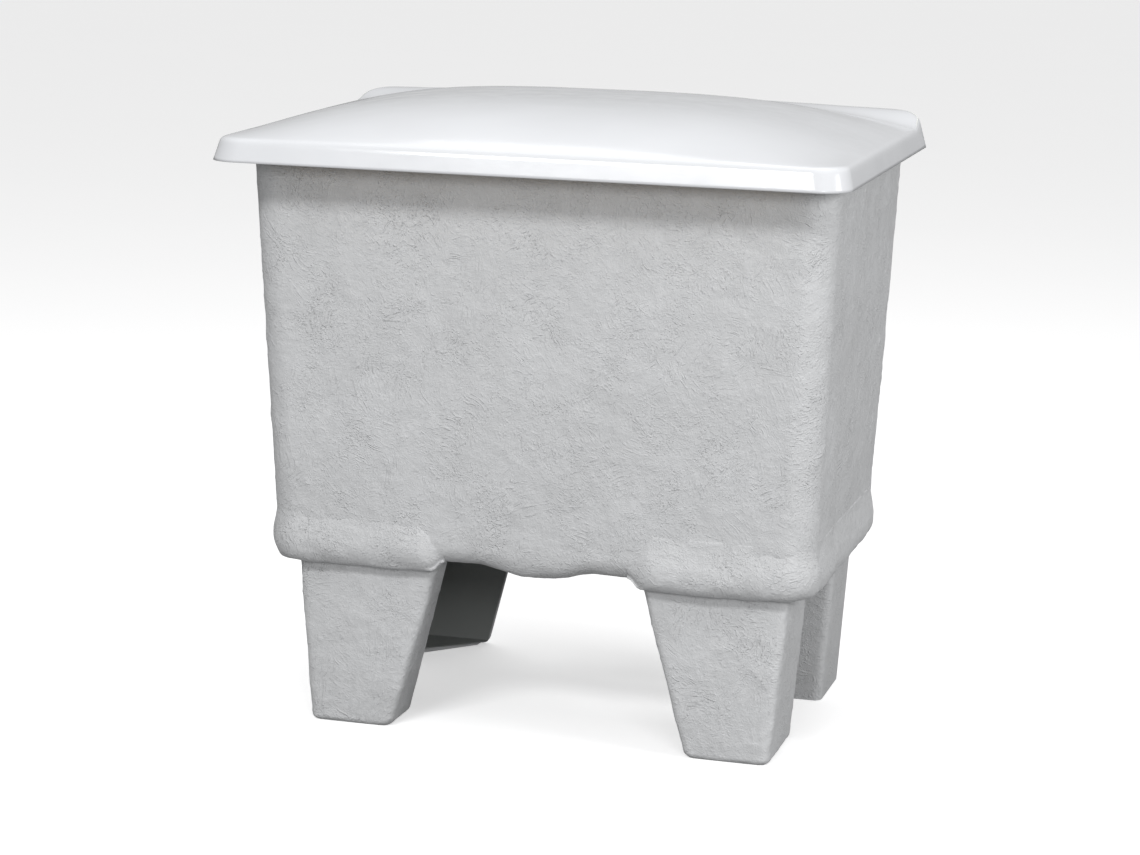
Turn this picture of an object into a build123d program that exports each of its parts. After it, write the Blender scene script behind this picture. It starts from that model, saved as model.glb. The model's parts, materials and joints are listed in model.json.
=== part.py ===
"""Floor-standing glass-fibre wash tank: a tub on four hollow legs, a hinged domed lid and a bottom drain.

Frame: millimetres, +Z up, -Y front, origin on the floor under the middle of the lid.
"""
from build123d import *
import os

# ---------------------------------------------------------------- driving dimensions
OVERCUT = 1.0  # how far a cutting block runs past the face it opens

# lid
LID_WIDTH = 1000.0
LID_DEPTH = 736.0
LID_BOTTOM = 920.0  # lower edge of the skirt
LID_TOP_EDGE = 955.0  # where the skirt meets the dome at the front and sides
LID_CORNER = 50.0
LID_LIP = 978.0  # top of the raised rear edge
SIDE_DRAFT = 14.5  # how far the skirt leans in between its lower edge and the raised rear edge
FRONT_DRAFT = 20.0
REAR_DRAFT = 12.0
DOME_RISE = 58.0
DOME_HALF_X = 488.0
DOME_HALF_Y = 356.0
DOME_POWER_X = 3.2
DOME_POWER_Y = 3.0
REAR_RAMP_START = 0.72  # share of the half depth where the raised rear edge begins
LID_REACH_X = 504.0  # the dome surface is drawn a little past the skirt and trimmed by it
LID_REACH_Y = 372.0
LID_OVER = 1060.0
LID_DROP = 200.0
DOME_DROP = 70.0
SKIN = 2.0  # white gelcoat
LAMINATE = 5.0  # glass laminate of the lid
LAND_Z = 950.0  # flat land that sits on the seal
LAND_WIDTH = 924.0
LAND_DEPTH = 642.0
LAND_Y = -9.0

# tub
TUB_Y = 23.0
TUB_TOP_WIDTH = 938.0
TUB_TOP_DEPTH = 601.0
TUB_BASE_WIDTH = 881.0
TUB_BASE_DEPTH = 531.0
TUB_BASE = 283.0
TUB_TOP = 942.0
TUB_CORNER = 50.0
TUB_EDGE = 34.0  # rounding of the lower edge
TUB_WALL = 6.0
TUB_FLOOR = 7.0
LINER = 2.0
RIM_THICK = 6.0
RIM_WIDTH = 962.0
RIM_FRONT = -347.0
RIM_REAR = 346.0
RIM_CORNER = 42.0
GUTTER_TOP = 87.0  # half widths of the shallow channel in the floor
GUTTER_BED = 50.0
GUTTER_DEPTH = 14.0
GUTTER_FRONT = -242.5  # flush with the tub's front face, so the front edge dips in the middle
GUTTER_REAR = 270.0
GUTTER_FLARE = 192.0  # half width where the channel's sides would reach the top of the rounded edge

# rim
BATTEN_THICK_FRONT = 15.0
BATTEN_THICK_REAR = 25.0
BATTEN_WIDTH_FRONT = 62.0
BATTEN_WIDTH_REAR = 22.0
BATTEN_LENGTH = 820.0
SEAL_WIDTH = 10.0
SEAL_TOP = 949.7
SEAL_SIZE = (952.0, 674.0)
SEAL_CORNER = 40.0

# legs
LEG_OUTER_FOOT = 380.5
LEG_OUTER_HEAD = 404.0
LEG_INNER_FOOT = 243.8
LEG_INNER_HEAD = 164.6
LEG_FRONT_FOOT = -220.0
LEG_FRONT_HEAD = -216.0
LEG_REAR_FOOT = 305.0
LEG_REAR_HEAD = 272.0
FRONT_DEPTHS = (168.0, 96.0, 160.0, 55.0)  # outer and inner side at the foot, then at the head
REAR_DEPTHS = (140.0, 14.0, 132.0, 14.0)
SLANT_INSET = 2.6  # share of an even wall that comes off the deep side of a slanted leg
SHALLOW_LEAST = 2.0
LEG_WALL = 7.0
LEG_SOLE = 8.0
LEG_LINING = 1.5
FRONT_LEG_EDGE = 16.0
REAR_LEG_EDGE = 22.0
LEG_RETURN = 34.0  # rolled return left at the outer end of a front leg's open side
LEG_OPENING_FAR = 60.0
REAR_RETURN = 40.0  # front wall of a rear leg, between its outer corner and the open side
REAR_SOLE_STEP = 38.0  # how far the sole's slanted edge starts behind that wall
REAR_OPEN_PAST = 4.0

# base rails
RAIL_SECTIONS = (  # height, half width, half depth
    (268.0, 420.0, 241.0),
    (276.0, 436.0, 255.0),
    (290.0, 448.0, 267.0),
    (308.0, 450.0, 272.0),
    (334.0, 443.0, 277.0),
)
RAIL_CORNER = 52.0
RAIL_END_X = 150.0
RAIL_INNER_X = 405.0
RAIL_INNER_FRONT = -217.0
RAIL_INNER_REAR = 275.0
RAIL_CUT = 200.0

# hinges
HINGE_X = 300.0
PIN_Y = 356.0
PIN_Z = 905.0
PIN_D = 6.0
BARREL_D = 12.0
HINGE_WIDTH = 70.0
KNUCKLE = 24.0
KNUCKLE_GAP = 0.5
PLATE = 4.0
LEAF = 3.0
LEAF_REACH = 22.0
CORE_SIZE = (760.0, 32.0, 16.0)
CORE_Y = 336.0
CORE_Z = 952.0
LEAF_SCREW_Y = 341.0
SCREW_D = 4.5
SCREW_HEAD = 8.4
SCREW_HEAD_DEPTH = 2.2
SCREW_STEP = 24.0
RIM_SCREW_LENGTH = 22.0
LID_SCREW_LENGTH = 16.0
RECESS_LENGTH = 4.6
RECESS_WIDTH = 1.0
RECESS_DEPTH = 1.2
PIN_FREE_PLAY = 0.05
PIN_HEAD_D = 9.0
PIN_HEAD = 2.0
STOP_Y = 368.0  # end of the tongue that the skirt's lower edge meets when fully open
STOP_LOW = 890.5
STOP_HIGH = 897.5

# drain
DRAIN_Y = 190.0
STEM_D = 42.0
STEM_PLAY = 0.5
STEM_CUT = 60.0
BORE_D = 30.0
FLANGE_D = 78.0
FLANGE_THICK = 5.0
GASKET = 2.0
NUT_AF = 58.0
NUT_THICK = 12.0
GASKET_D = 72.0
STRAINER_D = 48.0
STRAINER_THICK = 2.0
STRAINER_HOLE = 8.0
STRAINER_RING = 13.0
OUTLET_Z = 228.0
ELBOW_D = 54.0
ELBOW_STEP = 1.0  # the upright leg of the elbow is this much larger all round
VALVE_Y = 276.0
VALVE_LENGTH = 62.0
VALVE_D = 52.0
POCKET_LENGTH = 44.0
POCKET_D = 41.2
BALL_D = 40.0
BALL_BORE = 27.0
BALL_PLAY = 0.3
SEAT_LENGTH = 8.0
BOSS_D = 26.0
BOSS_DROP = 5.0
SPINDLE_D = 10.0
SPINDLE_TANG = 5.0
SPINDLE_TANG_WIDTH = 9.0
SPINDLE_BITE = 3.0
SPINDLE_NUT = 5.5
SPINDLE_END = 1.0
LEVER_Z = 191.0
LEVER_THICK = 3.5
LEVER_LENGTH = 88.0
LEVER_WIDTH = 16.0
LEVER_HUB = 26.0
LEVER_NUT_AF = 17.0
GRIP_LENGTH = 52.0
GRIP_WALL = 2.5
COLLAR = 6.0
TAIL_D = 32.0
TAIL_BORE = 25.0
TAIL_LENGTH = 40.0

# ---------------------------------------------------------------- derived levels
FLOOR_LAMINATE_TOP = TUB_BASE + TUB_FLOOR
FLOOR_TOP = FLOOR_LAMINATE_TOP + LINER
LINER_TOP = TUB_TOP + LINER
RIM_UNDER = TUB_TOP - RIM_THICK
BATTEN_BOTTOM = RIM_UNDER - BATTEN_THICK_REAR  # the hinge brackets are screwed up against it
RIM_DEPTH = RIM_REAR - RIM_FRONT
RIM_Y = (RIM_REAR + RIM_FRONT) / 2
GUTTER_FLOOR = FLOOR_TOP - GUTTER_DEPTH  # wetted bed of the channel
GUTTER_UNDER = TUB_BASE - GUTTER_DEPTH

os.makedirs("parts", exist_ok=True)
pieces = []


def finish(builder, name):
    """Label a finished piece and write it."""
    builder.part.label = name
    export_step(builder.part, f"parts/{name}.step")
    pieces.append(name)


def tub_size(z):
    """Outer width and depth of the tapered tub at height z."""
    share = (z - TUB_BASE) / (TUB_TOP - TUB_BASE)
    width = TUB_BASE_WIDTH + (TUB_TOP_WIDTH - TUB_BASE_WIDTH) * share
    depth = TUB_BASE_DEPTH + (TUB_TOP_DEPTH - TUB_BASE_DEPTH) * share
    return width, depth


def tub_block(inset, floor, top):
    """Tapered block with a rounded lower edge, inset from the tub's outer faces."""
    with BuildPart() as block:
        for z in (floor, top):
            width, depth = tub_size(z)
            with BuildSketch(Plane.XY.offset(z)):
                with Locations((0, TUB_Y)):
                    RectangleRounded(width - 2 * inset, depth - 2 * inset, TUB_CORNER - inset)
        loft()
        fillet(block.faces().sort_by(Axis.Z)[0].edges(), TUB_EDGE - inset)
    return block.part


def gutter_block(inset):
    """Shallow channel from the tub's front face to its rear, inset from the channel's outer faces."""
    flare_z = TUB_BASE + TUB_EDGE
    length = GUTTER_REAR - GUTTER_FRONT - 2 * inset
    with BuildPart() as envelope:
        with BuildSketch(Plane.XY.offset(GUTTER_UNDER + inset)):
            with Locations((0, (GUTTER_REAR + GUTTER_FRONT) / 2)):
                Rectangle(2 * GUTTER_FLARE, length)
        extrude(amount=flare_z - GUTTER_UNDER - inset)
        front_edge = envelope.faces().sort_by(Axis.Y)[0].edges().sort_by(Axis.Z)[0]
        fillet(front_edge, TUB_EDGE - inset)
    with BuildPart() as block:
        with BuildSketch(Plane.XZ.offset(-(GUTTER_REAR - inset))):
            with BuildLine():
                Polyline(
                    (-GUTTER_FLARE + inset, flare_z),
                    (-GUTTER_TOP + inset, TUB_BASE + inset),
                    (-GUTTER_BED + inset, GUTTER_UNDER + inset),
                    (GUTTER_BED - inset, GUTTER_UNDER + inset),
                    (GUTTER_TOP - inset, TUB_BASE + inset),
                    (GUTTER_FLARE - inset, flare_z),
                    close=True,
                )
            make_face()
        extrude(amount=length)
        add(envelope.part, mode=Mode.INTERSECT)
    return block.part


def rounded_ring(z, height, outer, outer_r, inner, inner_r, centre_y):
    """Flat ring between two rounded rectangles."""
    with BuildPart() as ring:
        with BuildSketch(Plane.XY.offset(z)):
            with Locations((0, centre_y)):
                RectangleRounded(*outer, outer_r)
                RectangleRounded(*inner, inner_r, mode=Mode.SUBTRACT)
        extrude(amount=height)
    return ring.part


# ---------------------------------------------------------------- tub
tub_outer = tub_block(0, TUB_BASE, TUB_TOP)
laminate_hollow = tub_block(TUB_WALL, FLOOR_LAMINATE_TOP, LINER_TOP + OVERCUT)
liner_hollow = tub_block(TUB_WALL + LINER, FLOOR_TOP, LINER_TOP + OVERCUT)
gutter_outer = gutter_block(0)
gutter_laminate = gutter_block(TUB_FLOOR)
gutter_liner = gutter_block(TUB_FLOOR + LINER)

with BuildPart() as bowl_block:
    add(tub_outer)
    add(gutter_outer)

with BuildPart() as tub_rim:
    with BuildSketch(Plane.XY.offset(RIM_UNDER)):
        with Locations((0, RIM_Y)):
            RectangleRounded(RIM_WIDTH, RIM_DEPTH, RIM_CORNER)
    extrude(amount=RIM_THICK)
    add(tub_outer, mode=Mode.SUBTRACT)
finish(tub_rim, "tub_rim")

with BuildPart() as tub_shell:
    add(bowl_block.part)
    add(laminate_hollow, mode=Mode.SUBTRACT)
    add(gutter_laminate, mode=Mode.SUBTRACT)
    with Locations((0, DRAIN_Y, GUTTER_UNDER)):
        Cylinder(STEM_D / 2 + STEM_PLAY, STEM_CUT, mode=Mode.SUBTRACT)
finish(tub_shell, "tub_shell")

with BuildPart() as tub_liner:
    add(tub_block(TUB_WALL, FLOOR_LAMINATE_TOP, LINER_TOP))
    add(gutter_laminate)
    with BuildSketch(Plane.XY.offset(TUB_TOP)):
        with Locations((0, RIM_Y)):
            RectangleRounded(RIM_WIDTH, RIM_DEPTH, RIM_CORNER)
    extrude(amount=LINER)
    add(liner_hollow, mode=Mode.SUBTRACT)
    add(gutter_liner, mode=Mode.SUBTRACT)
    with Locations((0, DRAIN_Y, GUTTER_FLOOR)):
        Cylinder(STEM_D / 2 + STEM_PLAY, STEM_CUT, mode=Mode.SUBTRACT)
finish(tub_liner, "tub_liner")


def rim_batten(y_min, width, thick):
    """Straight timber batten laid up under the rim."""
    with BuildPart() as batten:
        with BuildSketch(Plane.XY.offset(RIM_UNDER - thick)):
            with Locations((0, y_min + width / 2)):
                Rectangle(BATTEN_LENGTH, width)
        extrude(amount=thick)
        fillet(batten.faces().sort_by(Axis.Z)[0].edges(), 2)
    return batten.part


def wood_screw(length):
    """Countersunk screw that points up, with its head's face at the origin."""
    shank = SCREW_D / 2
    with BuildPart() as screw:
        with BuildSketch(Plane.XZ):
            with BuildLine():
                Polyline(
                    (0, 0),
                    (SCREW_HEAD / 2, 0),
                    (shank, SCREW_HEAD_DEPTH),
                    (shank, length - SCREW_D),
                    (0, length),
                    close=True,
                )
            make_face()
        revolve(axis=Axis.Z)
    return screw.part


def recessed_screw(length):
    """The same screw with its cross recess."""
    with BuildPart() as screw:
        add(wood_screw(length))
        for angle in (0, 90):
            with Locations(Location((0, 0, 0), (0, 0, angle))):
                Box(RECESS_LENGTH, RECESS_WIDTH, 2 * RECESS_DEPTH, mode=Mode.SUBTRACT)
    return screw.part


def hinge_spots(y, z):
    """Screw places of both hinges at one depth and height."""
    return [(side * HINGE_X + step, y, z) for side in (-1, 1) for step in (-SCREW_STEP, SCREW_STEP)]


rim_screw_spots = hinge_spots(RIM_REAR - BATTEN_WIDTH_REAR / 2, BATTEN_BOTTOM - PLATE)
lid_screw_spots = hinge_spots(LEAF_SCREW_Y, LAND_Z - LEAF)

with BuildPart() as rim_batten_front:
    add(rim_batten(RIM_FRONT + 2, BATTEN_WIDTH_FRONT, BATTEN_THICK_FRONT))
finish(rim_batten_front, "rim_batten_front")

with BuildPart() as rim_batten_rear:
    add(rim_batten(RIM_REAR - BATTEN_WIDTH_REAR, BATTEN_WIDTH_REAR, BATTEN_THICK_REAR))
    with Locations(*rim_screw_spots):
        add(wood_screw(RIM_SCREW_LENGTH), mode=Mode.SUBTRACT)
finish(rim_batten_rear, "rim_batten_rear")

with BuildPart() as rim_seal:
    add(
        rounded_ring(
            LINER_TOP,
            SEAL_TOP - LINER_TOP,
            SEAL_SIZE,
            SEAL_CORNER,
            (SEAL_SIZE[0] - 2 * SEAL_WIDTH, SEAL_SIZE[1] - 2 * SEAL_WIDTH),
            SEAL_CORNER - SEAL_WIDTH,
            LAND_Y,
        )
    )
finish(rim_seal, "rim_seal")


# ---------------------------------------------------------------- base rails
with BuildPart() as rail_block:
    for z, half_x, half_y in RAIL_SECTIONS:
        with BuildSketch(Plane.XY.offset(z)):
            with Locations((0, TUB_Y)):
                RectangleRounded(2 * half_x, 2 * half_y, RAIL_CORNER)
    loft()
    add(bowl_block.part, mode=Mode.SUBTRACT)
    with BuildSketch(Plane.XY.offset(RAIL_SECTIONS[0][0] - OVERCUT)):
        with Locations((0, (RAIL_INNER_FRONT + RAIL_INNER_REAR) / 2)):
            Rectangle(2 * RAIL_INNER_X, RAIL_INNER_REAR - RAIL_INNER_FRONT)
    extrude(amount=TUB_BASE - RAIL_SECTIONS[0][0] + OVERCUT, mode=Mode.SUBTRACT)
    with Locations((0, TUB_Y, RAIL_SECTIONS[0][0])):
        Box(2 * RAIL_END_X, LID_DEPTH, RAIL_CUT, mode=Mode.SUBTRACT)

for side, keep in (("left", Keep.BOTTOM), ("right", Keep.TOP)):
    with BuildPart() as rail:
        add(rail_block.part)
        split(bisect_by=Plane.YZ, keep=keep)
    finish(rail, f"base_rail_{side}")


# ---------------------------------------------------------------- legs
def leg_plan(rear, head):
    """Outer x, inner x, y of the outer wall, and the depths of the outer and inner side."""
    outer = LEG_OUTER_HEAD if head else LEG_OUTER_FOOT
    inner = LEG_INNER_HEAD if head else LEG_INNER_FOOT
    depths = REAR_DEPTHS if rear else FRONT_DEPTHS
    deep, shallow = depths[2:] if head else depths[:2]
    if rear:
        wall = LEG_REAR_HEAD if head else LEG_REAR_FOOT
    else:
        wall = LEG_FRONT_HEAD if head else LEG_FRONT_FOOT
    return outer, inner, wall, deep, shallow


def front_outline(head, inset):
    """Plan of a right front leg, inset from its outer faces: deep outside, shallow inside."""
    outer, inner, wall, deep, shallow = leg_plan(False, head)
    wall = wall + inset
    deep = deep - SLANT_INSET * inset
    shallow = max(shallow - 2 * inset, SHALLOW_LEAST)
    outer = outer - inset
    inner = inner + inset
    return ((outer, wall), (inner, wall), (inner, wall + shallow), (outer, wall + deep))


def rear_outline(head):
    """Plan of a right rear leg: a short front wall, then the slanted open side."""
    outer, inner, wall, deep, shallow = leg_plan(True, head)
    front = wall - deep
    step = outer - REAR_RETURN
    return (
        (outer, wall),
        (inner, wall),
        (inner, wall - shallow),
        (step, front + REAR_SOLE_STEP),
        (step, front),
        (outer, front),
    )


def rear_cavity_outline(head, inset):
    """Plan of the space inside a right rear leg, carried past its open side."""
    outer, inner, wall, deep, _ = leg_plan(True, head)
    front = wall - deep + inset
    past = inner - REAR_OPEN_PAST
    return ((outer - inset, wall - inset), (past, wall - inset), (past, front), (outer - inset, front))


def leg_block(side, foot, head, bottom, top, rear, radius):
    """Loft between a foot and a head outline, with the two outer upright edges rounded."""
    with BuildPart() as block:
        for outline, z in ((foot, bottom), (head, top)):
            with BuildSketch(Plane.XY.offset(z)):
                with BuildLine():
                    Polyline(*[(side * x, y) for x, y in outline], close=True)
                make_face()
        loft()
        upright = block.edges().filter_by(lambda edge: abs(edge.tangent_at(0.5).Z) > 0.9)
        if rear:
            rounded = upright.sort_by(Axis.X, reverse=side > 0)[0:2]
        else:
            rounded = upright.sort_by(Axis.Y)[0:2]
        fillet(rounded, radius)
    return block.part


def front_opening(side, bottom, top):
    """Prism that opens a front leg's slanted side between its two returns."""
    outer = LEG_OUTER_FOOT - LEG_RETURN
    near = LEG_FRONT_FOOT + FRONT_DEPTHS[1] / 2
    with BuildPart() as block:
        for inner, z in ((LEG_INNER_FOOT + LEG_WALL, bottom), (LEG_INNER_HEAD + LEG_WALL, top)):
            with BuildSketch(Plane.XY.offset(z)):
                with BuildLine():
                    Polyline(
                        (side * outer, LEG_OPENING_FAR),
                        (side * outer, near),
                        (side * inner, near),
                        (side * inner, LEG_OPENING_FAR),
                        close=True,
                    )
                make_face()
        loft()
    return block.part


def front_cavity(side, inset, floor, ceiling):
    """Space inside a front leg."""
    foot = front_outline(False, inset)
    head = front_outline(True, inset)
    return leg_block(side, foot, head, floor, ceiling, False, FRONT_LEG_EDGE - inset)


def rear_cavity(side, inset, floor, ceiling):
    """Space inside a rear leg."""
    foot = rear_cavity_outline(False, inset)
    head = rear_cavity_outline(True, inset)
    return leg_block(side, foot, head, floor, ceiling, True, REAR_LEG_EDGE - inset)


hollow_top = TUB_BASE - LEG_WALL
lined = LEG_WALL + LEG_LINING
for side_name, side in (("left", -1), ("right", 1)):
    front_block = leg_block(
        side, front_outline(False, 0), front_outline(True, 0), 0, TUB_BASE, False, FRONT_LEG_EDGE
    )
    front_hollow = front_cavity(side, LEG_WALL, LEG_SOLE, hollow_top)
    front_lined = front_cavity(side, lined, LEG_SOLE + LEG_LINING, hollow_top - LEG_LINING)
    front_gap = front_opening(side, LEG_SOLE, hollow_top)
    with BuildPart() as leg_front:
        add(front_block)
        add(front_hollow, mode=Mode.SUBTRACT)
        add(front_gap, mode=Mode.SUBTRACT)
    finish(leg_front, f"leg_front_{side_name}")
    with BuildPart() as leg_lining_front:
        add(front_hollow)
        add(front_lined, mode=Mode.SUBTRACT)
        add(front_gap, mode=Mode.SUBTRACT)
    finish(leg_lining_front, f"leg_lining_front_{side_name}")

    rear_block = leg_block(side, rear_outline(False), rear_outline(True), 0, TUB_BASE, True, REAR_LEG_EDGE)
    rear_hollow = rear_cavity(side, LEG_WALL, LEG_SOLE, hollow_top)
    rear_lined = rear_cavity(side, lined, LEG_SOLE + LEG_LINING, hollow_top - LEG_LINING)
    with BuildPart() as leg_rear:
        add(rear_block)
        add(rear_hollow, mode=Mode.SUBTRACT)
    finish(leg_rear, f"leg_rear_{side_name}")
    with BuildPart() as leg_lining_rear:
        add(rear_block)
        add(rear_hollow, mode=Mode.INTERSECT)
        add(rear_lined, mode=Mode.SUBTRACT)
    finish(leg_lining_rear, f"leg_lining_rear_{side_name}")


# ---------------------------------------------------------------- lid
def smooth_step(t):
    """Cubic step from 0 to 1."""
    t = min(max(t, 0.0), 1.0)
    return t * t * (3 - 2 * t)


def dome_height(x, y, half_x, half_y, centre_y):
    """Rise of the pillow dome above its rim."""
    u = abs(x) / half_x
    v = abs(y - centre_y) / half_y
    return DOME_RISE * (1 - u**DOME_POWER_X) * (1 - v**DOME_POWER_Y)


def lid_top(x, y):
    """Height of the lid's outer surface."""
    ramp = (y / DOME_HALF_Y - REAR_RAMP_START) / (1 - REAR_RAMP_START)
    lift = (LID_LIP - LID_TOP_EDGE) * smooth_step(ramp)
    return LID_TOP_EDGE + dome_height(x, y, DOME_HALF_X, DOME_HALF_Y, 0) + lift


def surface_solid(height, half_x, y_front, y_rear, drop, columns=33, rows=29):
    """Solid below a smooth surface z = height(x, y), reaching down by the drop."""
    points = []
    for i in range(columns):
        x = -half_x + 2 * half_x * i / (columns - 1)
        row = []
        for j in range(rows):
            y = y_front + (y_rear - y_front) * j / (rows - 1)
            row.append((x, y, height(x, y)))
        points.append(row)
    face = Face.make_surface_from_array_of_points([[Vector(*p) for p in row] for row in points], tol=0.05)
    with BuildPart() as solid:
        extrude(face, amount=drop, dir=(0, 0, -1))
    return solid.part


def skirt_block(inset, bottom, top):
    """Tapered block inside the lid's skirt."""
    with BuildPart() as block:
        for z in (bottom, top):
            share = (z - LID_BOTTOM) / (LID_LIP - LID_BOTTOM)
            half_x = LID_WIDTH / 2 - SIDE_DRAFT * share - inset
            y_front = -LID_DEPTH / 2 + FRONT_DRAFT * share + inset
            y_rear = LID_DEPTH / 2 - REAR_DRAFT * share - inset
            with BuildSketch(Plane.XY.offset(z)):
                with Locations((0, (y_front + y_rear) / 2)):
                    RectangleRounded(2 * half_x, y_rear - y_front, LID_CORNER - inset)
        loft()
    return block.part


def lid_block(inset):
    """Whole lid as a solid block, inset from its outer surface."""
    below = surface_solid(
        lambda x, y: lid_top(x, y) - inset,
        LID_REACH_X,
        -LID_REACH_Y,
        LID_REACH_Y,
        LID_DROP,
    )
    with BuildPart() as block:
        add(skirt_block(inset, LID_BOTTOM, LID_OVER))
        add(below, mode=Mode.INTERSECT)
    return block.part


lid_full = lid_block(0)
lid_inner = lid_block(SKIN)
skirt_hollow = skirt_block(SKIN + LAMINATE, LID_BOTTOM - OVERCUT, LAND_Z)
dome_hollow = surface_solid(
    lambda x, y: LAND_Z + dome_height(x, y, LAND_WIDTH / 2, LAND_DEPTH / 2, LAND_Y),
    LAND_WIDTH / 2,
    LAND_Y - LAND_DEPTH / 2,
    LAND_Y + LAND_DEPTH / 2,
    DOME_DROP,
)

with BuildPart() as lid_core:
    with BuildSketch(Plane.XY.offset(CORE_Z)):
        with Locations((0, CORE_Y)):
            Rectangle(CORE_SIZE[0], CORE_SIZE[1])
    extrude(amount=CORE_SIZE[2])
    add(lid_inner, mode=Mode.INTERSECT)

with BuildPart() as lid_hinge_core:
    add(lid_core.part)
    with Locations(*lid_screw_spots):
        add(wood_screw(LID_SCREW_LENGTH), mode=Mode.SUBTRACT)
finish(lid_hinge_core, "lid_hinge_core")

with BuildPart() as lid_skin:
    add(lid_full)
    add(lid_inner, mode=Mode.SUBTRACT)
finish(lid_skin, "lid_skin")

with BuildPart() as lid_laminate:
    add(lid_inner)
    add(skirt_hollow, mode=Mode.SUBTRACT)
    add(dome_hollow, mode=Mode.SUBTRACT)
    add(lid_core.part, mode=Mode.SUBTRACT)
    with Locations(*lid_screw_spots):
        add(wood_screw(LID_SCREW_LENGTH), mode=Mode.SUBTRACT)
finish(lid_laminate, "lid_laminate")


# ---------------------------------------------------------------- hinges
def hinge_zone(x_min, x_max, outline):
    """Extrude an outline in the hinge's side view between two stations along the pin."""
    with BuildPart() as zone:
        with BuildSketch(Plane.YZ.offset(x_min)):
            with BuildLine():
                Polyline(*outline, close=True)
            make_face()
        extrude(amount=x_max - x_min)
    return zone.part


def along_pin(x_min, x_max, diameter):
    """Cylinder on the pin's axis."""
    with BuildPart() as rod:
        with BuildSketch(Plane.YZ.offset(x_min)):
            with Locations((PIN_Y, PIN_Z)):
                Circle(diameter / 2)
        extrude(amount=x_max - x_min)
    return rod.part


plate_top = BATTEN_BOTTOM
plate_outline = (
    (RIM_REAR - BATTEN_WIDTH_REAR, plate_top - PLATE),
    (RIM_REAR, plate_top - PLATE),
    (RIM_REAR, plate_top),
    (RIM_REAR - BATTEN_WIDTH_REAR, plate_top),
)
strap_outline = (
    (RIM_REAR, plate_top - PLATE),
    (PIN_Y, plate_top - PLATE),
    (PIN_Y, plate_top),
    (RIM_REAR, plate_top),
)
tongue_outline = (
    (PIN_Y - PLATE, PIN_Z - PLATE / 2),
    (PIN_Y + PLATE, PIN_Z),
    (STOP_Y, STOP_HIGH),
    (STOP_Y, STOP_LOW),
    (STOP_Y - PLATE, STOP_LOW),
)
leaf_back = PIN_Y - BARREL_D / 2 + LEAF
leaf_front = leaf_back - LEAF
leaf_low = plate_top + LEAF
tab_outline = (
    (leaf_front, PIN_Z),
    (leaf_back, PIN_Z),
    (leaf_back, leaf_low),
    (leaf_front, leaf_low),
)
leaf_outline = (
    (leaf_front, leaf_low),
    (leaf_back, leaf_low),
    (leaf_back, LAND_Z),
    (leaf_back - LEAF_REACH, LAND_Z),
    (leaf_back - LEAF_REACH, LAND_Z - LEAF),
    (leaf_front, LAND_Z - LEAF),
)

for side_name, side in (("left", -1), ("right", 1)):
    middle = side * HINGE_X
    left_end = middle - HINGE_WIDTH / 2
    right_end = middle + HINGE_WIDTH / 2
    knuckles = ((left_end, middle - KNUCKLE / 2), (middle + KNUCKLE / 2, right_end))
    centre = (middle - KNUCKLE / 2 + KNUCKLE_GAP, middle + KNUCKLE / 2 - KNUCKLE_GAP)

    with BuildPart() as bracket:
        add(hinge_zone(left_end, right_end, plate_outline))
        for start, stop in knuckles:
            add(hinge_zone(start, stop, strap_outline))
            add(hinge_zone(start, stop, tongue_outline))
            add(along_pin(start, stop, BARREL_D))
        add(along_pin(left_end, right_end, PIN_D), mode=Mode.SUBTRACT)
        with Locations(*rim_screw_spots):
            add(wood_screw(RIM_SCREW_LENGTH), mode=Mode.SUBTRACT)
    finish(bracket, f"hinge_bracket_{side_name}")

    with BuildPart() as leaf:
        add(hinge_zone(left_end, right_end, leaf_outline))
        add(hinge_zone(*centre, tab_outline))
        add(along_pin(*centre, BARREL_D))
        add(along_pin(*centre, PIN_D + 2 * PIN_FREE_PLAY), mode=Mode.SUBTRACT)
        with Locations(*lid_screw_spots):
            add(wood_screw(LID_SCREW_LENGTH), mode=Mode.SUBTRACT)
    finish(leaf, f"hinge_leaf_{side_name}")

    with BuildPart() as pin:
        add(along_pin(left_end, right_end, PIN_D))
        add(along_pin(left_end - PIN_HEAD, left_end, PIN_HEAD_D))
        add(along_pin(right_end, right_end + PIN_HEAD, PIN_HEAD_D))
    finish(pin, f"hinge_pin_{side_name}")

with BuildPart() as hinge_screws_rim:
    with Locations(*rim_screw_spots):
        add(recessed_screw(RIM_SCREW_LENGTH))
finish(hinge_screws_rim, "hinge_screws_rim")

with BuildPart() as hinge_screws_lid:
    with Locations(*lid_screw_spots):
        add(recessed_screw(LID_SCREW_LENGTH))
finish(hinge_screws_lid, "hinge_screws_lid")


# ---------------------------------------------------------------- drain
def upright_rod(low, high, diameter, x=0.0, y=DRAIN_Y):
    """Vertical cylinder between two heights."""
    with BuildPart() as rod:
        with BuildSketch(Plane.XY.offset(low)):
            with Locations((x, y)):
                Circle(diameter / 2)
        extrude(amount=high - low)
    return rod.part


def level_rod(y_min, y_max, diameter):
    """Cylinder along the outlet's axis."""
    with BuildPart() as rod:
        with BuildSketch(Plane.XZ.offset(-y_max)):
            with Locations((0, OUTLET_Z)):
                Circle(diameter / 2)
        extrude(amount=y_max - y_min)
    return rod.part


def ball_at(y, diameter):
    """Sphere on the outlet's axis."""
    with BuildPart() as ball:
        with Locations((0, y, OUTLET_Z)):
            Sphere(diameter / 2)
    return ball.part


flange_low = GUTTER_FLOOR + GASKET
flange_high = flange_low + FLANGE_THICK
nut_high = GUTTER_UNDER - GASKET
nut_low = nut_high - NUT_THICK
stem_low = OUTLET_Z + BORE_D / 2
elbow_end = VALVE_Y - VALVE_LENGTH / 2
valve_end = VALVE_Y + VALVE_LENGTH / 2
pocket_start = VALVE_Y - POCKET_LENGTH / 2
pocket_end = VALVE_Y + POCKET_LENGTH / 2

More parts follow.
